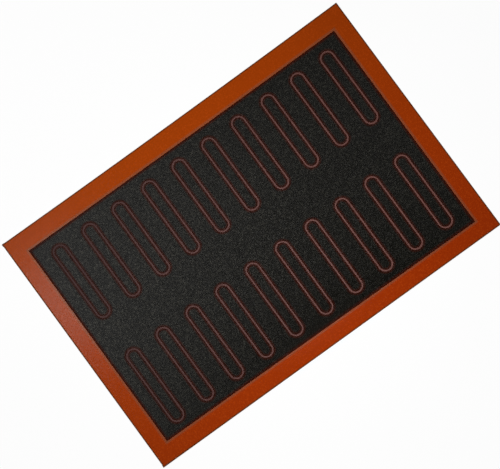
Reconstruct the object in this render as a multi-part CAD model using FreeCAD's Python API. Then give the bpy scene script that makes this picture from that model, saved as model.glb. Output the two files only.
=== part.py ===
# Open-mesh silicone baking mat with two rows of eclair outlines printed on it. Millimetres, +Z up.
# The origin is the middle of the underside. +X runs along the long side, +Y towards the rear.
import FreeCAD, Part
import os

# Cut size of the mat
mat_length = 600.0
mat_width = 400.0

# Width of the red border beside the open field, and at both ends of the front and the rear, where it changes
border_left = 26.2
border_right = 27.0
border_front_at_left = 28.4
border_front_at_right = 24.9
border_rear_at_left = 29.7
border_rear_at_right = 31.1

# Thickness of each layer, from the underside up, and of the printed line on top
back_film_thickness = 0.12
warp_thickness = 0.3
weft_thickness = 0.3
face_film_thickness = 0.12
line_thickness = 0.1

# Open mesh: width of a coated yarn, and of the gap to the next yarn
yarn_width = 1.5
mesh_gap = 0.45

# Eclair outlines, measured from the middle of the line to the middle of the line
outline_length = 125.0
outline_width = 20.1
line_width = 2.0
columns = 10
rows = 2

# Share of the field's spare room that is left before the first outline, and again after the last
column_end_share = 0.07
row_end_share = 0.173

# How far the outlines were printed off the middle of the field, and each row off the row in front of it
print_shift_x = 1.3
print_shift_y = -1.4
row_shift_x = 2.7

# Edges of the mat, and the two edges of the open field that are square to it
mat_right = mat_length / 2
mat_left = -mat_right
mat_rear = mat_width / 2
mat_front = -mat_rear
field_left = mat_left + border_left
field_right = mat_right - border_right

# Heights at which the layers start
warp_bottom = back_film_thickness
weft_bottom = warp_bottom + warp_thickness
print_bottom = weft_bottom + weft_thickness

up = FreeCAD.Vector(0, 0, 1)
half_turn = 180


def changing(at_left, at_right, x):
    """Value that changes evenly from the left edge of the mat to its right edge."""
    return at_left + (at_right - at_left) * (x - mat_left) / mat_length


def field_front(x):
    """Front edge of the open field at a place along X."""
    return mat_front + changing(border_front_at_left, border_front_at_right, x)


def field_rear(x):
    """Rear edge of the open field at a place along X."""
    return mat_rear - changing(border_rear_at_left, border_rear_at_right, x)


def closed_line(corners):
    """Closed wire with sharp corners."""
    return Part.makePolygon([FreeCAD.Vector(x, y, 0) for x, y in corners + corners[:1]])


def rectangle(left, right, front, rear):
    """Closed wire square to the mat."""
    return closed_line([(left, front), (right, front), (right, rear), (left, rear)])


def field_strip(left, right):
    """Closed wire round the open field from one place along X to another."""
    front = [(left, field_front(left)), (right, field_front(right))]
    rear = [(right, field_rear(right)), (left, field_rear(left))]
    return closed_line(front + rear)


def capsule(middle_x, middle_y, length, width):
    """Long closed wire with two straight sides along Y and two round ends."""
    radius = width / 2
    reach = length / 2 - radius
    rear_centre = FreeCAD.Vector(middle_x, middle_y + reach, 0)
    front_centre = FreeCAD.Vector(middle_x, middle_y - reach, 0)
    rear_end = Part.makeCircle(radius, rear_centre, up, 0, half_turn)
    front_end = Part.makeCircle(radius, front_centre, up, half_turn, 2 * half_turn)
    left_side = Part.makeLine(rear_end.lastVertex().Point, front_end.firstVertex().Point)
    right_side = Part.makeLine(front_end.lastVertex().Point, rear_end.firstVertex().Point)
    return Part.Wire([rear_end, left_side, front_end, right_side])


def flat_layer(edge, holes, bottom, thickness):
    """Flat layer inside an edge, with its holes cut right through, starting at a height."""
    face = Part.Face([edge] + holes)
    face.translate(up * bottom)
    return face.extrude(up * thickness)


def mat_layer(holes, bottom, thickness):
    """Layer as large as the whole mat."""
    edge = rectangle(mat_left, mat_right, mat_front, mat_rear)
    return flat_layer(edge, holes, bottom, thickness)


def gap_middles(low, high):
    """Middles of the gaps between yarns: as many as fit between two edges of the field, centred there."""
    pitch = yarn_width + mesh_gap
    count = int((high - low - mesh_gap) // pitch) + 1
    first = (low + high) / 2 - pitch * (count - 1) / 2
    return [first + pitch * index for index in range(count)]


def spread_middles(low, high, size, count, end_share):
    """Middles of like pieces spread between two edges, with a share of the spare room at each end."""
    end_room = (high - low - count * size) * end_share
    first = low + end_room + size / 2
    last = high - end_room - size / 2
    return [first + (last - first) * index / (count - 1) for index in range(count)]


def weft_mesh_layer():
    """Crosswise yarns, which run along Y and are filled solid under the border."""
    half_gap = mesh_gap / 2
    middles = gap_middles(field_left, field_right)
    gaps = [field_strip(x - half_gap, x + half_gap) for x in middles]
    return mat_layer(gaps, weft_bottom, weft_thickness)


def warp_mesh_layer():
    """Lengthwise yarns, which run along X and are filled solid under the border."""
    half_gap = mesh_gap / 2
    field = Part.Face(field_strip(field_left, field_right))
    gaps = []
    for y in gap_middles(field.BoundBox.YMin, field.BoundBox.YMax):
        whole_gap = Part.Face(rectangle(field_left, field_right, y - half_gap, y + half_gap))
        gaps.append(whole_gap.common(field).Faces[0].OuterWire)
    return mat_layer(gaps, warp_bottom, warp_thickness)


def border_band(bottom, thickness):
    """Film of red silicone round the open field."""
    return mat_layer([field_strip(field_left, field_right)], bottom, thickness)


def eclair_outline(middle_x, middle_y):
    """One printed line, closed round the place of one eclair."""
    outside = capsule(middle_x, middle_y, outline_length + line_width, outline_width + line_width)
    inside = capsule(middle_x, middle_y, outline_length - line_width, outline_width - line_width)
    return flat_layer(outside, [inside], print_bottom, line_thickness)


def eclair_outlines():
    """All printed outlines by name, with the rows counted from the front and the columns from the left."""
    column_middles = spread_middles(
        field_left, field_right, outline_width + line_width, columns, column_end_share
    )
    row_middles = spread_middles(
        field_front(0), field_rear(0), outline_length + line_width, rows, row_end_share
    )
    outlines = {}
    for row, middle_y in enumerate(row_middles):
        shift_x = print_shift_x + row_shift_x * (row - (rows - 1) / 2)
        for column, middle_x in enumerate(column_middles):
            name = f"eclair_outline_row{row + 1}_{column + 1:02d}"
            outlines[name] = eclair_outline(middle_x + shift_x, middle_y + print_shift_y)
    return outlines


pieces = {
    "border_back_band": border_band(0, back_film_thickness),
    "warp_mesh_layer": warp_mesh_layer(),
    "weft_mesh_layer": weft_mesh_layer(),
    "border_face_band": border_band(print_bottom, face_film_thickness),
}
pieces.update(eclair_outlines())

os.makedirs("parts", exist_ok=True)
for name, solid in pieces.items():
    solid.exportStep(f"parts/{name}.step")
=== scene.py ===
# Looks of the open-mesh silicone baking mat: woven yarns, red border films and printed outlines.
# Metres. The mat lies flat on the floor, its long side along X and its rear towards +Y.
import math

import bpy
import numpy as np
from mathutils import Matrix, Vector


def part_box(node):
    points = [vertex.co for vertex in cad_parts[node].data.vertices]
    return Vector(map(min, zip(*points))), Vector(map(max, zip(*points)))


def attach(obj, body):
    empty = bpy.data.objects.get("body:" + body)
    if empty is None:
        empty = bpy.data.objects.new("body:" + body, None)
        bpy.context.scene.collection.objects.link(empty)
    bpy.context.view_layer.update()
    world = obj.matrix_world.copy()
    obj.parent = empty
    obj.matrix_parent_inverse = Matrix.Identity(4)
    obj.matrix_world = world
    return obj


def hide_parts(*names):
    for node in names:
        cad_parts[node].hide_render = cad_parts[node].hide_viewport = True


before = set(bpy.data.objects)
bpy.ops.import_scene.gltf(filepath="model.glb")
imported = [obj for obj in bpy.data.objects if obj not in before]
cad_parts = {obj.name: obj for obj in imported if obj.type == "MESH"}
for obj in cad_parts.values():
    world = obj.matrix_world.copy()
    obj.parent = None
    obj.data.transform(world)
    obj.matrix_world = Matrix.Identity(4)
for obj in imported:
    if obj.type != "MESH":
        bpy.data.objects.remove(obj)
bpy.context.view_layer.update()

# How far the cloth is out of square: sideways shift for each metre towards the rear,
# and how far the rear edge is drawn in at its middle
cloth_skew = -0.0072
cloth_bow = 0.00145

# Woven mesh: step from one yarn to the next and the gap between them, how much the width, the place
# and the crown of a yarn vary, and how far its ends go under the border
mesh_pitch = 0.00195
mesh_gap = 0.00045
yarn_width_wander_share = 0.05
yarn_sway = 0.00003
crown_sway = 0.00009
tuck_under_border = 0.0012

# Cut edge all round: how far the dark core and the red films stand back from the ends of the yarns
core_setback = 0.00025
film_setback = 0.0020

# Step between the core's points along the field, short enough for the bow of the cloth
core_step = 0.01

# How far the films and the printed lines sink into what they lie on
sink_depth = 0.00002

# Red films: height of the weave that shows in them, and their rim beside the open field, which drops
# a little. Its paler colour is a painted highlight along the rim: it has one share at the field, peaks at
# the rim's width and fades out beyond it
weave_relief = 0.000045
rim_width = 0.0016
rim_drop = 0.00005
rim_highlight_fade = 0.0037
rim_highlight_edge_share = 0.55
rim_highlight_peak_share = 0.80

# Angle between two faces from which films and printed lines have a hard edge there
sharp_from = math.radians(40)

# Printed outlines: width of the line and how far it has spread, the step along it, how much its width
# varies, and its section from side to side, as shares of its half width and of its height
line_width = 0.0020
line_spread = 0.0003
line_step = 0.0008
line_wander_share = 0.05
bead_section_shares = [(-1.0, 0.0), (-0.84, 0.7), (-0.4, 1.0), (0.4, 1.0), (0.84, 0.7), (1.0, 0.0)]

# Yarns beside the border and beside a printed line: how far out they are fully soaked with red and where
# that ends, and how much of the soaking there is beside a line
soaked_by_border = (0.0012, 0.0050)
soaked_by_print = (0.0026, 0.0052)
print_soak_share = 0.7

# Names under which the films carry their painted rim highlight, and the yarns how much red has soaked into
# them and how much painted sheen greys them
rim_highlight_mark = "inner_rim_highlight"
soaked_mark = "soaked"
sheen_mark = "painted_sheen_share"

# Chance draws that make yarns and lines uneven, the same each time from their seed
chance_seed = 7
random_draws = np.random.default_rng(chance_seed)

# Colours as scene-linear values, with their alpha
# Mesh colours: plain black, and grey where painted sheen lies on it, each for dark and for pale crossings
sheened_mesh_dark = (0.0313, 0.0313, 0.0304, 1)
black_mesh_dark = (0.0051, 0.0048, 0.0034, 1)
sheened_mesh_pale = (0.0669, 0.0652, 0.0578, 1)
black_mesh_pale = (0.0169, 0.0160, 0.0122, 1)
mesh_soaked = (0.0460, 0.0050, 0.0005, 1)
border_deep = (0.278, 0.0245, 0.0002, 1)
border_bright = (0.298, 0.0402, 0.0004, 1)
border_spot = (0.460, 0.0620, 0.0040, 1)
# Painted highlight along the inner rim of the border film
border_rim_highlight = (0.191, 0.063, 0.0280, 1)
edge_dark = (0.080, 0.016, 0.0030, 1)
edge_pale = (0.170, 0.037, 0.0060, 1)
print_dim = (0.046, 0.026, 0.026, 1)
print_bright = (0.146, 0.062, 0.052, 1)
floor_pale = (0.86, 0.86, 0.86, 1)
# Painted shadow of the mat on the floor under it
floor_painted_shadow = (0.06, 0.06, 0.06, 1)
white = (1, 1, 1, 1)

# Directions in which the border brightens and the print gets brighter
border_brighter_towards = (-0.2, 0.98, 0)
print_brighter_towards = (0.88, -0.47, 0)

# Painted sheen that greys the black mesh: its share in the middle of the field, and what comes to it at the
# left end, the rear edge, both ends, both long edges, and the rear left and the front right corner
middle_sheen_share = 0.35
left_sheen_share = 0.303
rear_sheen_share = 0.221
ends_sheen_share = 0.24
long_edges_sheen_share = -0.11
corners_sheen_share = 0.15

# How rare the pale crossings of the weave are in the mesh and in the border,
# and how much they brighten the border
mesh_tone_rarity = 3
border_tone_rarity = 3
border_spots_share = 0.6

# Depth of the weave pressed into the border film and into the print
border_weave_depth = 0.000018
print_weave_depth = 0.00007

# The weave's tones are drawn for boxes, one round each crossing, that are taller than the mat
weave_box_height = 2

# Shine: refractive index of silicone, and the specular level of the yarns and of the cut edge
silicone_ior = 1.41
mesh_specular = 0.25
edge_specular = 0.2

# Fine grain of the silicone, and what it does to the roughness and the bump of each finish
grain_scale = 900
grain_detail = 2
mesh_grain = {"Smoothest": 0.40, "Roughest": 0.58, "Bump Strength": 0.15, "Bump Depth": 0.00005}
border_grain = {"Smoothest": 0.18, "Roughest": 0.26, "Bump Strength": 0.12, "Bump Depth": 0.00004}
edge_grain = {"Smoothest": 0.6, "Roughest": 0.8, "Bump Strength": 0.15, "Bump Depth": 0.00004}
print_grain = {"Smoothest": 0.45, "Roughest": 0.6, "Bump Strength": 0.12, "Bump Depth": 0.00004}

# Floor: how far it reaches to each side, how far it lies below the mat, its roughness,
# and how much of it is plain white where it is seen
floor_reach = 6.0
floor_drop = 0.00005
floor_roughness = 0.9
floor_white_share = 0.93

# Room: level of its light, how high its walls show as white in reflections and where its dim ceiling
# starts, both as the sine of the angle above the floor
room_level = 0.05
wall_top = 0.10
ceiling_start = 0.28

# Soft square lights: place to the right and up in the photograph and above the floor,
# width, and power in watts
left_light = {"place": (-1.11, 0.46, 1.2), "width": 0.7, "power": 15.2}
front_light = {"place": (1.25, -1.25, 1.1), "width": 0.7, "power": 9.0}
top_light = {"place": (0.05, -0.05, 0.5), "width": 0.2, "power": 1.9}
sheen_light = {"place": (-0.56, -0.175, 1.5), "width": 0.25, "power": 0.74}

# Camera, measured from the four corners of the mat in the photograph
camera_turn = math.radians(-35.867)
camera_pitch = math.radians(0.765)
camera_roll = math.radians(1.132)
camera_distance = 1.4998
camera_aim = Vector((-0.0001, 0.00046, 0))
camera_lens = 74.5
camera_sensor = 36.0


def place_towards_rear(corner):
    """How far a corner lies towards the rear."""
    return corner[1]


def field_corners(node):
    """Corners of the open field in a ring-shaped node: the front and the rear left, then the same right."""
    inner_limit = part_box(node)[1].x - film_setback
    points = [point.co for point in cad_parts[node].data.vertices]
    inner = [(point.x, point.y) for point in points if abs(point.x) < inner_limit]
    left = [corner for corner in inner if corner[0] < 0]
    right = [corner for corner in inner if corner[0] > 0]
    corners = []
    for side in (left, right):
        corners.append(min(side, key=place_towards_rear))
        corners.append(max(side, key=place_towards_rear))
    return corners


# Edges and heights of the CAD model's layers. The front and the rear edge of the field are a little sloped,
# so each has a place in its middle, and a drift from its left end to its right end
mat_left, mat_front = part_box("border_face_band")[0].xy
mat_right, mat_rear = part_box("border_face_band")[1].xy
front_left, rear_left, front_right, rear_right = field_corners("border_face_band")
field_left = front_left[0]
field_right = front_right[0]
field_front = (front_left[1] + front_right[1]) / 2
field_rear = (rear_left[1] + rear_right[1]) / 2
front_drift = front_right[1] - front_left[1]
rear_drift = rear_right[1] - rear_left[1]
back_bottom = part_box("border_back_band")[0].z
mesh_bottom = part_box("warp_mesh_layer")[0].z
mesh_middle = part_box("warp_mesh_layer")[1].z
mesh_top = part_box("weft_mesh_layer")[1].z
face_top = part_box("border_face_band")[1].z

printed_nodes = [node for node in sorted(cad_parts) if node.startswith("eclair_outline")]

# Size of a yarn, how far it goes up or down at a crossing, and the length of its ends at the cut edge
yarn_width = mesh_pitch - mesh_gap
yarn_half_thickness = (mesh_middle - mesh_bottom) / 2
yarn_lift = yarn_half_thickness
yarn_end_length = 2 * film_setback


def yarn_centres(low, high):
    """Middles of the yarns that cross the open field between two of its edges, centred there."""
    count = int((high - low - mesh_gap) // mesh_pitch)
    first = (low + high - mesh_pitch * (count - 1)) / 2
    return first + mesh_pitch * np.arange(count)


def carried_on(centres, low, high):
    """The same row of yarns carried on, under the border, as far as two edges of the mat."""
    before = int((centres[0] - low) // mesh_pitch)
    after = int((high - centres[-1]) // mesh_pitch)
    return centres[0] + mesh_pitch * np.arange(-before, len(centres) + after)


# The weave fills the field as far as the corners where its sloped edges reach furthest out
weave_front = field_front - abs(front_drift) / 2
weave_rear = field_rear + abs(rear_drift) / 2
weft_centres = yarn_centres(field_left, field_right)
warp_centres = yarn_centres(weave_front, weave_rear)


# Meshes

def pulled_out_of_square(points):
    """Points of the mat moved with its skew and with the bow of its rear edge."""
    rearward_share = (points[:, 1] - mat_front) / (mat_rear - mat_front)
    points[:, 1] -= cloth_bow * rearward_share * (1 - (points[:, 0] / mat_right) ** 2)
    points[:, 0] += cloth_skew * points[:, 1]
    return points


def along_field(x):
    """Place along the open field: minus a half at its left end and a half at its right end."""
    return (x - field_left) / (field_right - field_left) - 1 / 2


def with_sloped_field(points):
    """Points of a border piece moved so that the edges of its field slope as in the CAD model."""
    lines = [mat_front, field_front, field_rear, mat_rear]
    front_share = np.interp(points[:, 1], lines, [0, 1, 0, 0])
    rear_share = np.interp(points[:, 1], lines, [0, 0, 1, 0])
    points[:, 1] += along_field(points[:, 0]) * (front_share * front_drift + rear_share * rear_drift)
    return points


def make_piece(name, points, faces, finish, nodes):
    """One smooth piece of the mat, which moves with it and stands for the CAD nodes named."""
    points = pulled_out_of_square(np.array(points))
    mesh = bpy.data.meshes.new(name)
    mesh.from_pydata(points.tolist(), [], np.asarray(faces).tolist())
    mesh.shade_smooth()
    mesh.materials.append(finish)
    piece = bpy.data.objects.new(name, mesh)
    bpy.context.scene.collection.objects.link(piece)
    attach(piece, "root")
    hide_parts(*nodes)
    return piece


def mark_points(piece, mark, values):
    """A value for each point of a piece, which its finish reads by name."""
    layer = piece.data.attributes.new(mark, "FLOAT", "POINT")
    layer.data.foreach_set("value", values.astype(np.float32))


def map_from_above(piece):
    """Colour map of a piece, laid out as it is seen from above."""
    mesh = piece.data
    points = np.array([point.co[:2] for point in mesh.vertices])
    spread = (points - points.min(0)) / np.ptp(points, 0)
    corners = np.zeros(len(mesh.loops), np.int32)
    mesh.loops.foreach_get("vertex_index", corners)
    layer = mesh.uv_layers.new(name="OFBake")
    layer.data.foreach_set("uv", spread[corners].ravel())


def alternate(row, column):
    """Sides on which yarns pass at their crossings, 1 above and -1 below, by turns both ways."""
    return 1 - 2 * ((row[:, None] + column[None, :]) % 2)


def flat_yarns(centres, stations, sides):
    """Points and faces of parallel yarns along Y, each a flat tube that goes over and under."""
    shape = sides.shape
    width_wander = 1 + yarn_width_wander_share * random_draws.standard_normal(shape)
    half_width = yarn_width / 2 * width_wander
    middle = centres[:, None] + yarn_sway * random_draws.standard_normal(shape)
    crown_middle = middle + crown_sway * random_draws.standard_normal(shape)
    along = np.broadcast_to(stations, shape)
    height = mesh_middle + yarn_lift * sides
    left = np.stack([middle - half_width, along, height], -1)
    crown = np.stack([crown_middle, along, height + yarn_half_thickness], -1)
    right = np.stack([middle + half_width, along, height], -1)
    belly = np.stack([middle, along, height - yarn_half_thickness], -1)
    points = np.stack([left, crown, right, belly], 2)
    number = np.arange(points[..., 0].size).reshape(points.shape[:3])
    turned = np.roll(number, -1, axis=2)
    walls = [number[:, :-1], turned[:, :-1], turned[:, 1:], number[:, 1:]]
    long_faces = np.stack(walls, -1).reshape(-1, 4)
    first_ends = number[:, 0, ::-1]
    last_ends = number[:, -1]
    return points.reshape(-1, 3), np.concatenate([long_faces, first_ends, last_ends])


def turned_lengthwise(points, faces):
    """The same yarns laid along X instead of along Y."""
    return points[:, [1, 0, 2]], faces[:, ::-1]


def joined(bodies):
    """Several sets of points and faces as one set."""
    points = []
    faces = []
    count = 0
    for body_points, body_faces in bodies:
        points.append(body_points)
        faces.append(body_faces + count)
        count += len(body_points)
    return np.concatenate(points), np.concatenate(faces)


def ring_cells(x_lines, y_lines):
    """Cells of a grid of lines that lie outside the open field, and the crossings that they use."""
    x_middle = (x_lines[1:] + x_lines[:-1]) / 2
    y_middle = (y_lines[1:] + y_lines[:-1]) / 2
    in_x = (x_middle > field_left) & (x_middle < field_right)
    in_y = (y_middle > field_front) & (y_middle < field_rear)
    kept = ~(in_x[:, None] & in_y[None, :])
    used = np.zeros((len(x_lines), len(y_lines)), bool)
    for x_part in (slice(0, -1), slice(1, None)):
        for y_part in (slice(0, -1), slice(1, None)):
            used[x_part, y_part] |= kept
    return kept, used


def ring_body(x_lines, y_lines, bottom, top):
    """Points and faces of a closed flat ring on a grid of lines, with its upper points first."""
    kept, used = ring_cells(x_lines, y_lines)
    number = (np.cumsum(used) - 1).reshape(used.shape)
    count = int(used.sum())
    x_grid, y_grid = np.meshgrid(x_lines, y_lines, indexing="ij")
    top_points = np.stack([x_grid[used], y_grid[used], top[used]], -1)
    bottom_points = np.stack([x_grid[used], y_grid[used], bottom[used]], -1)
    corners = [number[:-1, :-1], number[1:, :-1], number[1:, 1:], number[:-1, 1:]]
    top_faces = np.stack([corner[kept] for corner in corners], -1)
    bottom_faces = top_faces[:, ::-1] + count
    edged = np.pad(kept, 1)
    beside = [edged[1:-1, :-2], edged[2:, 1:-1], edged[1:-1, 2:], edged[:-2, 1:-1]]
    walls = []
    for side in range(4):
        open_side = kept & ~beside[side]
        start = corners[side][open_side]
        end = corners[(side + 1) % 4][open_side]
        walls.append(np.stack([end, start, start + count, end + count], -1))
    points = with_sloped_field(np.concatenate([top_points, bottom_points]))
    return points, np.concatenate([top_faces, bottom_faces, *walls])


def film_lines(centres, edges):
    """Grid lines of a film along one axis, at its edges, rims and yarns, and how each line bulges."""
    low, inner_low, inner_high, high = edges
    fixed = np.array([*edges, inner_low - rim_width, inner_high + rim_width])
    yarns = carried_on(centres, low, high)
    clear = np.abs(yarns[:, None] - fixed[None, :]).min(1) > rim_width / 2
    turns = 1 - 2 * (np.arange(len(yarns)) % 2)
    lines = np.concatenate([fixed, yarns[clear]])
    bulges = np.concatenate([np.zeros(len(fixed)), turns[clear]])
    order = np.argsort(lines)
    return lines[order], bulges[order]


def beyond_field(x_lines, y_lines):
    """How far each crossing of grid lines lies outside the open field: 0 on its edge, less inside it."""
    beyond_x = np.maximum(field_left - x_lines, x_lines - field_right)
    beyond_y = np.maximum(field_front - y_lines, y_lines - field_rear)
    return np.maximum(beyond_x[:, None], beyond_y[None, :])


def border_film(outer, inner, direction):
    """Film round the field, with the weave on its outer side and a low rim, and the share of painted
    highlight along the rim.
    """
    x_edges = [mat_left + film_setback, field_left, field_right, mat_right - film_setback]
    y_edges = [mat_front + film_setback, field_front, field_rear, mat_rear - film_setback]
    x_lines, x_bulges = film_lines(weft_centres, x_edges)
    y_lines, y_bulges = film_lines(warp_centres, y_edges)
    beyond = beyond_field(x_lines, y_lines)
    level = outer - direction * weave_relief
    woven_surface = level + weave_relief * x_bulges[:, None] * y_bulges[None, :]
    outer_surface = np.where(beyond == 0, level - direction * rim_drop, woven_surface)
    inner_surface = np.full(beyond.shape, inner - direction * sink_depth)
    surfaces = [inner_surface, outer_surface][::direction]
    points, faces = ring_body(x_lines, y_lines, *surfaces)
    used = ring_cells(x_lines, y_lines)[1]
    rim_highlight_shares = [rim_highlight_edge_share, rim_highlight_peak_share, 0]
    rim_highlight_share = np.interp(beyond[used], [0, rim_width, rim_highlight_fade], rim_highlight_shares)
    return points, faces, np.tile(rim_highlight_share, 2)


def line_path(node):
    """Middle, radius of the ends and half length of the straight sides of one printed line."""
    low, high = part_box(node)
    radius = (high.x - low.x - line_width) / 2
    reach = (high.y - low.y - line_width) / 2 - radius
    return (low.x + high.x) / 2, (low.y + high.y) / 2, radius, reach


def outline_bead(node):
    """Points and faces of one printed line: a low bead, a little uneven, round the place of one eclair."""
    low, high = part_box(node)
    middle_x, middle_y, radius, reach = line_path(node)
    side = 2 * reach
    bend = math.pi * radius
    around = 2 * (side + bend)
    count = round(around / line_step)
    place = around * np.arange(count) / count
    angle = np.clip(place - side, 0, bend) / radius + np.clip(place - 2 * side - bend, 0, bend) / radius
    climb = np.clip(place, 0, side) - np.clip(place - side - bend, 0, side) - reach
    width_wander = 1 + line_wander_share * random_draws.standard_normal(count)
    half_width = (line_width + line_spread) / 2 * width_wander
    base = low.z - sink_depth
    thickness = high.z - base
    rings = []
    for across_share, up_share in bead_section_shares:
        out = radius + half_width * across_share
        x = middle_x + out * np.cos(angle)
        y = middle_y + climb + out * np.sin(angle)
        height = np.full(count, base + thickness * up_share)
        rings.append(np.stack([x, y, height], -1))
    points = np.stack(rings, 1)
    number = np.arange(points[..., 0].size).reshape(points.shape[:2])
    across = np.roll(number, -1, axis=1)
    onward = np.roll(number, -1, axis=0)
    both = np.roll(across, -1, axis=0)
    faces = np.stack([number, onward, both, across], -1).reshape(-1, 4)
    return points.reshape(-1, 3), faces


def fading(distance, reaches):
    """1 as far as the first of two distances, falling to 0 at the second."""
    return np.interp(distance, reaches, [1, 0])


def soaked_share(points):
    """How much red silicone has soaked into yarns, at points near the border or near a printed line."""
    x = points[:, 0]
    y = points[:, 1]
    front = field_front + along_field(x) * front_drift
    rear = field_rear + along_field(x) * rear_drift
    from_border = np.minimum.reduce([x - field_left, field_right - x, y - front, rear - y])
    share = fading(from_border, soaked_by_border)
    for node in printed_nodes:
        middle_x, middle_y, radius, reach = line_path(node)
        beyond_side = np.clip(np.abs(y - middle_y) - reach, 0, None)
        from_line = np.abs(np.hypot(x - middle_x, beyond_side) - radius)
        share = np.maximum(share, print_soak_share * fading(from_line, soaked_by_print))
    return share


def painted_sheen_share(points):
    """How much painted sheen greys the coat of the yarns, at points in the open field."""
    leftward = -2 * along_field(points[:, 0])
    rearward = (2 * points[:, 1] - field_front - field_rear) / (field_rear - field_front)
    sloped = middle_sheen_share + left_sheen_share * leftward + rear_sheen_share * rearward
    bent = ends_sheen_share * leftward ** 2 + long_edges_sheen_share * rearward ** 2
    return np.clip(sloped + bent + corners_sheen_share * leftward * rearward, 0, 1)


# Steps that materials are made of

def add_node(tree, kind, **settings):
    """New shader node with its own settings."""
    node = tree.nodes.new(kind)
    for setting, value in settings.items():
        setattr(node, setting, value)
    return node


def set_or_link(tree, value, socket):
    """A plain value set on a socket, or one that changes over the surface linked to it."""
    if isinstance(value, bpy.types.NodeSocket):
        tree.links.new(value, socket)
    else:
        socket.default_value = value


def number_step(tree, operation, *values):
    """Result of one operation on numbers."""
    step = add_node(tree, "ShaderNodeMath", operation=operation)
    for value, socket in zip(values, step.inputs):
        set_or_link(tree, value, socket)
    return step.outputs["Value"]


def vector_step(tree, operation, *values):
    """Results of one operation on vectors."""
    step = add_node(tree, "ShaderNodeVectorMath", operation=operation)
    for value, socket in zip(values, step.inputs):
        set_or_link(tree, value, socket)
    return step.outputs


def vector_parts(tree, vector):
    """A vector's three numbers."""
    parts = add_node(tree, "ShaderNodeSeparateXYZ")
    tree.links.new(vector, parts.inputs["Vector"])
    return parts.outputs


def marked_value(tree, mark):
    """Value that the points of a piece carry under a name."""
    return add_node(tree, "ShaderNodeAttribute", attribute_name=mark).outputs["Fac"]


def place_on_piece(tree):
    """Place on a piece, in metres along the axes of the mat."""
    return add_node(tree, "ShaderNodeTexCoord").outputs["Object"]


def spread_value(tree, value, low, high):
    """A value from 0 to 1 spread over another range."""
    spread = add_node(tree, "ShaderNodeMapRange")
    tree.links.new(value, spread.inputs["Value"])
    set_or_link(tree, low, spread.inputs["To Min"])
    set_or_link(tree, high, spread.inputs["To Max"])
    return spread.outputs["Result"]


def share_between(tree, value, low, high):
    """Share of the way that a value has gone from one number to another, from 0 to 1."""
    share = add_node(tree, "ShaderNodeMapRange")
    tree.links.new(value, share.inputs["Value"])
    share.inputs["From Min"].default_value = low
    share.inputs["From Max"].default_value = high
    return share.outputs["Result"]


def blended(tree, amount, first, second):
    """Colour between two others, each of them plain or changing over the surface."""
    blend = add_node(tree, "ShaderNodeMix", data_type="RGBA")
    tree.links.new(amount, blend.inputs["Factor"])
    colours = [socket for socket in blend.inputs if socket.type == "RGBA"]
    set_or_link(tree, first, colours[0])
    set_or_link(tree, second, colours[1])
    return [socket for socket in blend.outputs if socket.type == "RGBA"][0]


# Effects that several finishes share

def new_group(name, inputs, outputs):
    """Empty group of shader nodes with named sockets: vectors for normals and rises, else numbers."""
    group = bpy.data.node_groups.new(name, "ShaderNodeTree")
    for side, sockets in (("INPUT", inputs), ("OUTPUT", outputs)):
        for socket in sockets:
            kind = "NodeSocketVector" if socket in ("Normal", "Rise") else "NodeSocketFloat"
            group.interface.new_socket(socket, in_out=side, socket_type=kind)
    given = add_node(group, "NodeGroupInput").outputs
    result = add_node(group, "NodeGroupOutput").inputs
    return group, given, result


def use_group(tree, group, values):
    """A shared group placed in a material with its own values."""
    node = add_node(tree, "ShaderNodeGroup", node_tree=group)
    for name, value in values.items():
        set_or_link(tree, value, node.inputs[name])
    return node.outputs


def silicone_grain():
    """Group: fine grain of a silicone coat, as a plain value, as a roughness and as a normal."""
    inputs = ["Smoothest", "Roughest", "Bump Strength", "Bump Depth"]
    group, given, result = new_group("silicone_grain", inputs, ["Grain", "Roughness", "Normal"])
    noise = add_node(group, "ShaderNodeTexNoise")
    noise.inputs["Scale"].default_value = grain_scale
    noise.inputs["Detail"].default_value = grain_detail
    group.links.new(place_on_piece(group), noise.inputs["Vector"])
    grain = noise.outputs["Fac"]
    bump = add_node(group, "ShaderNodeBump")
    group.links.new(grain, bump.inputs["Height"])
    group.links.new(given["Bump Strength"], bump.inputs["Strength"])
    group.links.new(given["Bump Depth"], bump.inputs["Distance"])
    roughness = spread_value(group, grain, given["Smoothest"], given["Roughest"])
    group.links.new(grain, result["Grain"])
    group.links.new(roughness, result["Roughness"])
    group.links.new(bump.outputs["Normal"], result["Normal"])
    return group


def place_in_weave(tree):
    """Place counted from the corner of the weave's first crossing, and from the bottom of its box."""
    corner = (weft_centres[0] - mesh_pitch / 2, warp_centres[0] - mesh_pitch / 2, -weave_box_height / 2)
    return vector_step(tree, "SUBTRACT", place_on_piece(tree), corner)["Vector"]


def weave_tones():
    """Group: a chance tone for each crossing of the weave, high at few of them where the rarity is high."""
    group, given, result = new_group("weave_tones", ["Rarity"], ["Tone"])
    box_size = (mesh_pitch, mesh_pitch, weave_box_height)
    box = vector_step(group, "SNAP", place_in_weave(group), box_size)["Vector"]
    chance = add_node(group, "ShaderNodeTexWhiteNoise")
    group.links.new(box, chance.inputs["Vector"])
    tone = number_step(group, "POWER", chance.outputs["Value"], given["Rarity"])
    group.links.new(tone, result["Tone"])
    return group


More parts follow.
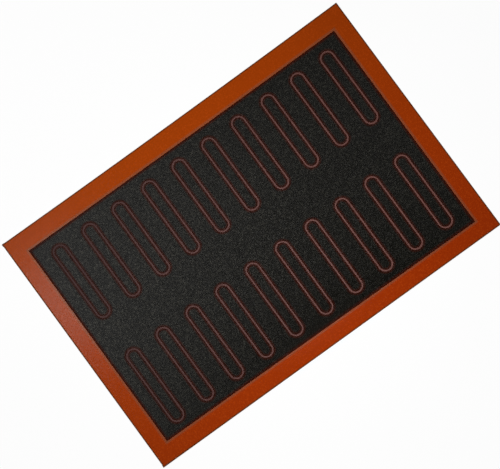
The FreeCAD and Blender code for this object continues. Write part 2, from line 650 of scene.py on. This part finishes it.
def weave_crowns():
    """Group: crowns of the weave, 1 in the middle of a crossing and 0 at its sides, also as a normal."""
    group, given, result = new_group("weave_crowns", ["Depth", "Normal"], ["Crown", "Normal"])
    highest = 1 / 4
    pitches = vector_step(group, "DIVIDE", place_in_weave(group), (mesh_pitch, mesh_pitch, 1))["Vector"]
    onward = vector_step(group, "FRACTION", pitches)["Vector"]
    back = vector_step(group, "SUBTRACT", (1, 1, 1), onward)["Vector"]
    arches = vector_parts(group, vector_step(group, "MULTIPLY", onward, back)["Vector"])
    both = number_step(group, "MULTIPLY", arches["X"], arches["Y"])
    crown = number_step(group, "MULTIPLY", both, 1 / highest ** 2)
    bump = add_node(group, "ShaderNodeBump")
    group.links.new(crown, bump.inputs["Height"])
    group.links.new(given["Depth"], bump.inputs["Distance"])
    group.links.new(given["Normal"], bump.inputs["Normal"])
    group.links.new(crown, result["Crown"])
    group.links.new(bump.outputs["Normal"], result["Normal"])
    return group


def field_slope():
    """Group: a share that rises by so much for each metre, and is a half in the middle of the mat."""
    group, given, result = new_group("field_slope", ["Rise"], ["Share"])
    risen = vector_step(group, "DOT_PRODUCT", place_on_piece(group), given["Rise"])["Value"]
    group.links.new(share_between(group, risen, -1 / 2, 1 / 2), result["Share"])
    return group


def rise_towards(direction):
    """Rise with which a share goes from 0 to 1 from one side of the open field to the other."""
    field_length = field_right - field_left
    field_width = field_rear - field_front
    span = abs(direction[0]) * field_length + abs(direction[1]) * field_width
    return {"Rise": [part / span for part in direction]}


grain_group = silicone_grain()
tones_group = weave_tones()
crowns_group = weave_crowns()
slope_group = field_slope()


# Finishes

def new_finish(name):
    """New material with its shader nodes, and its main shader."""
    finish = bpy.data.materials.new(name)
    finish.use_nodes = True
    shader = finish.node_tree.nodes["Principled BSDF"]
    shader.inputs["IOR"].default_value = silicone_ior
    return finish, finish.node_tree, shader


def lay_coat(tree, shader, colour, roughness, normal):
    """Colour, roughness and normal of a finish, as they change over its surface."""
    tree.links.new(colour, shader.inputs["Base Color"])
    tree.links.new(roughness, shader.inputs["Roughness"])
    tree.links.new(normal, shader.inputs["Normal"])


def mesh_coat():
    """Black silicone coat of the yarns, greyed in places by painted sheen and paler at some crossings, and
    red where soaked.
    """
    finish, tree, shader = new_finish("black_mesh_coat")
    shader.inputs["Specular IOR Level"].default_value = mesh_specular
    grain = use_group(tree, grain_group, mesh_grain)
    tone = use_group(tree, tones_group, {"Rarity": mesh_tone_rarity})["Tone"]
    # Share of painted sheen that greys the black coat
    sheen_share = marked_value(tree, sheen_mark)
    dark = blended(tree, sheen_share, black_mesh_dark, sheened_mesh_dark)
    pale = blended(tree, sheen_share, black_mesh_pale, sheened_mesh_pale)
    toned = blended(tree, tone, dark, pale)
    colour = blended(tree, marked_value(tree, soaked_mark), toned, mesh_soaked)
    lay_coat(tree, shader, colour, grain["Roughness"], grain["Normal"])
    return finish


def border_coat():
    """Red-brown film of the border: brighter to the rear and at some crossings, with a painted highlight
    along its inner rim.
    """
    finish, tree, shader = new_finish("red_border_film")
    grain = use_group(tree, grain_group, border_grain)
    bright_share = use_group(tree, slope_group, rise_towards(border_brighter_towards))["Share"]
    tone = use_group(tree, tones_group, {"Rarity": border_tone_rarity})["Tone"]
    weave = use_group(tree, crowns_group, {"Depth": border_weave_depth, "Normal": grain["Normal"]})
    plain = blended(tree, bright_share, border_deep, border_bright)
    pale_crowns = number_step(tree, "MULTIPLY", tone, weave["Crown"])
    spots = number_step(tree, "MULTIPLY", pale_crowns, border_spots_share)
    spotted = blended(tree, spots, plain, border_spot)
    # Painted highlight along the inner rim of the film
    colour = blended(tree, marked_value(tree, rim_highlight_mark), spotted, border_rim_highlight)
    lay_coat(tree, shader, colour, grain["Roughness"], weave["Normal"])
    return finish


def edge_coat():
    """Dark mesh soaked with red silicone, which shows along the cut edge."""
    finish, tree, shader = new_finish("dark_cut_edge")
    shader.inputs["Specular IOR Level"].default_value = edge_specular
    grain = use_group(tree, grain_group, edge_grain)
    colour = blended(tree, grain["Grain"], edge_dark, edge_pale)
    lay_coat(tree, shader, colour, grain["Roughness"], grain["Normal"])
    return finish


def outline_coat():
    """Pink-brown print of the outlines, brighter towards one corner, with the weave in it."""
    finish, tree, shader = new_finish("pink_outline_print")
    grain = use_group(tree, grain_group, print_grain)
    print_bright_share = use_group(tree, slope_group, rise_towards(print_brighter_towards))["Share"]
    weave = use_group(tree, crowns_group, {"Depth": print_weave_depth, "Normal": grain["Normal"]})
    colour = blended(tree, print_bright_share, print_dim, print_bright)
    lay_coat(tree, shader, colour, grain["Roughness"], weave["Normal"])
    return finish


def any_seen_ray(tree):
    """1 for the rays that show the background: camera, glossy and transmission rays."""
    rays = add_node(tree, "ShaderNodeLightPath").outputs
    seen = number_step(tree, "MAXIMUM", rays["Is Camera Ray"], rays["Is Glossy Ray"])
    return number_step(tree, "MAXIMUM", seen, rays["Is Transmission Ray"])


def outside_mat(tree):
    """1 on the floor beside the mat, 0 under it as far out as the middle of its border."""
    parts = vector_parts(tree, place_on_piece(tree))
    reaches = {"X": (mat_right - field_left) / 2, "Y": (mat_rear - field_front) / 2}
    beyond = []
    for axis, reach in reaches.items():
        distance = number_step(tree, "ABSOLUTE", parts[axis])
        beyond.append(number_step(tree, "GREATER_THAN", distance, reach))
    return number_step(tree, "MAXIMUM", *beyond)


def floor_paint():
    """Pale paint, with a painted shadow under the mat. It shows as white beside the mat, but for a part of
    the shadow.
    """
    finish, tree, shader = new_finish("pale_floor")
    shader.inputs["Roughness"].default_value = floor_roughness
    beside = outside_mat(tree)
    # Painted shadow on the floor under the mat
    tree.links.new(blended(tree, beside, floor_painted_shadow, floor_pale), shader.inputs["Base Color"])
    glow = add_node(tree, "ShaderNodeEmission")
    glow.inputs["Color"].default_value = white
    seen_beside = number_step(tree, "MULTIPLY", any_seen_ray(tree), beside)
    white_amount = number_step(tree, "MULTIPLY", seen_beside, floor_white_share)
    mix = add_node(tree, "ShaderNodeMixShader")
    for output, socket in zip((white_amount, shader.outputs[0], glow.outputs[0]), mix.inputs):
        tree.links.new(output, socket)
    tree.links.new(mix.outputs[0], tree.nodes["Material Output"].inputs["Surface"])
    return finish


# Pieces of the mat

def build_films(finish):
    """Red films of the border, on the face and on the back."""
    films = [
        ("border_face_film", "border_face_band", border_film(face_top, mesh_top, 1)),
        ("border_back_film", "border_back_band", border_film(back_bottom, mesh_bottom, -1)),
    ]
    for name, node, (points, faces, rim_highlight_share) in films:
        piece = make_piece(name, points, faces, finish, [node])
        piece.data.set_sharp_from_angle(angle=sharp_from)
        # Share of painted highlight along the inner rim
        mark_points(piece, rim_highlight_mark, rim_highlight_share)


def core_lines(low, inner_low, inner_high, high):
    """Grid lines of the core along one axis: its edges, and short steps across the open field."""
    steps = round((inner_high - inner_low) / core_step)
    return np.concatenate([[low], np.linspace(inner_low, inner_high, steps + 1), [high]])


def build_core(finish):
    """Filled mesh between the films of the border."""
    x_lines = core_lines(mat_left + core_setback, field_left, field_right, mat_right - core_setback)
    y_lines = core_lines(mat_front + core_setback, field_front, field_rear, mat_rear - core_setback)
    bottom = np.full((len(x_lines), len(y_lines)), mesh_bottom)
    top = np.full((len(x_lines), len(y_lines)), mesh_top)
    points, faces = ring_body(x_lines, y_lines, bottom, top)
    nodes = ["weft_mesh_layer", "warp_mesh_layer"]
    piece = make_piece("border_core", points, faces, finish, nodes)
    piece.data.shade_flat()


def build_yarn_ends(finish):
    """Cut ends of the yarns along the four edges of the mat."""
    all_weft = carried_on(weft_centres, mat_left, mat_right)
    all_warp = carried_on(warp_centres, mat_front, mat_rear)
    weft_sides = alternate(np.arange(len(all_weft)), np.zeros(2, int))
    warp_sides = -alternate(np.arange(len(all_warp)), np.zeros(2, int))
    front = flat_yarns(all_weft, np.array([mat_front, mat_front + yarn_end_length]), weft_sides)
    rear = flat_yarns(all_weft, np.array([mat_rear - yarn_end_length, mat_rear]), weft_sides)
    left = flat_yarns(all_warp, np.array([mat_left, mat_left + yarn_end_length]), warp_sides)
    right = flat_yarns(all_warp, np.array([mat_right - yarn_end_length, mat_right]), warp_sides)
    points, faces = joined([front, rear, turned_lengthwise(*left), turned_lengthwise(*right)])
    nodes = ["weft_mesh_layer", "warp_mesh_layer"]
    make_piece("cut_yarn_ends", points, faces, finish, nodes)


def woven_stations(crossings, low, high):
    """Places along a woven yarn: its crossings, and its two ends, which go under the border."""
    return np.concatenate([[low - tuck_under_border], crossings, [high + tuck_under_border]])


def woven_sides(yarns, crossings):
    """Sides on which woven yarns pass at their crossings, and 0 for level at their two ends."""
    sides = alternate(np.arange(len(yarns)), np.arange(len(crossings)))
    return np.pad(sides, ((0, 0), (1, 1)))


def halves(first_name, second_name, yarns):
    """Names for the two halves of a set of yarns, each with its part of the set."""
    half = len(yarns) // 2
    return (first_name, slice(0, half)), (second_name, slice(half, None))


def lay_yarns(name, points, faces, finish, node):
    """Half of one set of yarns as a sheet that lies flat, with the area that its yarns cover."""
    piece = make_piece(name, points, faces, finish, [node])
    mark_points(piece, soaked_mark, soaked_share(points))
    # Painted sheen that greys the yarns
    mark_points(piece, sheen_mark, painted_sheen_share(points))
    map_from_above(piece)


def build_weft(finish):
    """Crosswise yarns of the woven field, in a left and a right half."""
    stations = woven_stations(warp_centres, weave_front, weave_rear)
    sides = woven_sides(weft_centres, warp_centres)
    for name, part in halves("weft_yarns_left", "weft_yarns_right", weft_centres):
        centres = weft_centres[part]
        points, faces = flat_yarns(centres, stations, sides[part])
        lay_yarns(name, points, faces, finish, "weft_mesh_layer")


def build_warp(finish):
    """Lengthwise yarns of the woven field, in a front and a rear half, each passing the weft by turns."""
    stations = woven_stations(weft_centres, field_left, field_right)
    sides = -woven_sides(warp_centres, weft_centres)
    for name, part in halves("warp_yarns_front", "warp_yarns_rear", warp_centres):
        centres = warp_centres[part]
        points, faces = turned_lengthwise(*flat_yarns(centres, stations, sides[part]))
        lay_yarns(name, points, faces, finish, "warp_mesh_layer")


def build_outlines(finish):
    """One bead for each printed outline."""
    for node in printed_nodes:
        name = node.replace("eclair", "printed_eclair")
        points, faces = outline_bead(node)
        piece = make_piece(name, points, faces, finish, [node])
        piece.data.set_sharp_from_angle(angle=sharp_from)


# Floor, light and camera

def build_floor(finish):
    """Square floor, just below the mat."""
    sides = [(-1, -1), (1, -1), (1, 1), (-1, 1)]
    corners = [(floor_reach * x, floor_reach * y, -floor_drop) for x, y in sides]
    mesh = bpy.data.meshes.new("floor")
    mesh.from_pydata(corners, [], [range(len(corners))])
    mesh.materials.append(finish)
    floor = bpy.data.objects.new("floor", mesh)
    bpy.context.scene.collection.objects.link(floor)


def build_world():
    """Dim room light. The background shows as white, and so do the walls in reflections."""
    world = bpy.data.worlds.new("studio")
    bpy.context.scene.world = world
    world.use_nodes = True
    tree = world.node_tree
    background = tree.nodes["Background"]
    background.inputs["Color"].default_value = white
    direction = add_node(tree, "ShaderNodeTexCoord").outputs["Generated"]
    wall_share = share_between(tree, vector_parts(tree, direction)["Z"], ceiling_start, wall_top)
    seen_walls = number_step(tree, "MULTIPLY", any_seen_ray(tree), wall_share)
    straight = add_node(tree, "ShaderNodeLightPath").outputs["Is Camera Ray"]
    shown = number_step(tree, "MAXIMUM", straight, seen_walls)
    tree.links.new(spread_value(tree, shown, room_level, 1), background.inputs["Strength"])


def soft_box(name, place, width, power):
    """Square soft light, placed by the photograph's right and up, and turned to the middle of the mat."""
    photo_right = Vector((math.cos(camera_turn), math.sin(camera_turn), 0))
    photo_up = Vector((-math.sin(camera_turn), math.cos(camera_turn), 0))
    right, up, height = place
    light = bpy.data.lights.new(name, "AREA")
    light.size = width
    light.energy = power
    lamp = bpy.data.objects.new(name, light)
    lamp.location = photo_right * right + photo_up * up + Vector((0, 0, height))
    lamp.rotation_mode = "QUATERNION"
    lamp.rotation_quaternion = (-lamp.location).to_track_quat("-Z", "Y")
    bpy.context.scene.collection.objects.link(lamp)
    return lamp


def build_lights():
    """Soft lights. Only the one that gives the left border its sheen shows in reflections."""
    unseen = [
        soft_box("left_light", **left_light),
        soft_box("front_light", **front_light),
        soft_box("top_light", **top_light),
    ]
    for lamp in unseen:
        lamp.visible_glossy = False
        lamp.visible_camera = False
    soft_box("sheen_light", **sheen_light)


def build_camera():
    """Camera above the mat, looking almost straight down on it."""
    data = bpy.data.cameras.new("photo_camera")
    data.sensor_width = camera_sensor
    data.lens = camera_lens
    camera = bpy.data.objects.new("photo_camera", data)
    camera.rotation_mode = "YXZ"
    camera.rotation_euler = (camera_pitch, camera_roll, camera_turn)
    backward = camera.rotation_euler.to_matrix() @ Vector((0, 0, 1))
    camera.location = camera_aim + backward * camera_distance
    bpy.context.scene.collection.objects.link(camera)
    bpy.context.scene.camera = camera


mesh_finish = mesh_coat()
border_finish = border_coat()
edge_finish = edge_coat()
outline_finish = outline_coat()

# Yarn ends, yarns and outlines take their chance draws in this order
build_films(border_finish)
build_core(edge_finish)
build_yarn_ends(edge_finish)
build_weft(mesh_finish)
build_warp(mesh_finish)
build_outlines(outline_finish)

build_floor(floor_paint())
build_world()
build_lights()
build_camera()
bpy.context.scene.view_settings.view_transform = "Standard"
